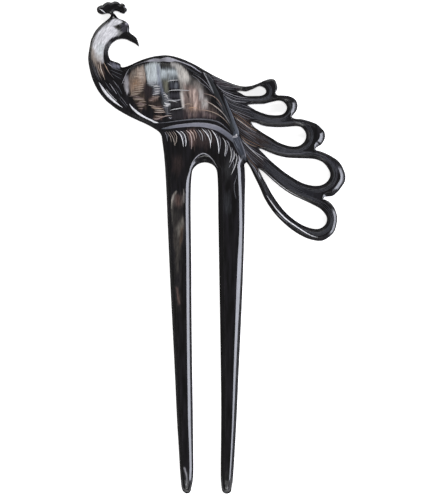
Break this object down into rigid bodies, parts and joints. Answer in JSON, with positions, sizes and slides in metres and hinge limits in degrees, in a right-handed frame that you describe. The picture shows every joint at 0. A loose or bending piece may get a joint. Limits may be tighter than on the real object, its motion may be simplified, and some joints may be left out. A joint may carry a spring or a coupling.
{
  "type": "hair fork",
  "caption": "Flat hair fork carved from dark horn: a crested, long-tailed bird with open tail loops stands above slim tapered prongs that hold a bun.",
  "frame": {"origin": "on the flat back face, in the solid bridge above the gap, halfway between the prongs", "axes": "+Y along the fork, from the prong tips to the crest; +Z out of the carved face; +X to the right as the carved face is looked at, the side of the tail"},
  "size_m": [0.0898, 0.1723, 0.0059],
  "materials": {
    "horn": "polished"
  },
  "bodies": {
    "root": {"horn_fork": "horn"}
  },
  "joints": []
}
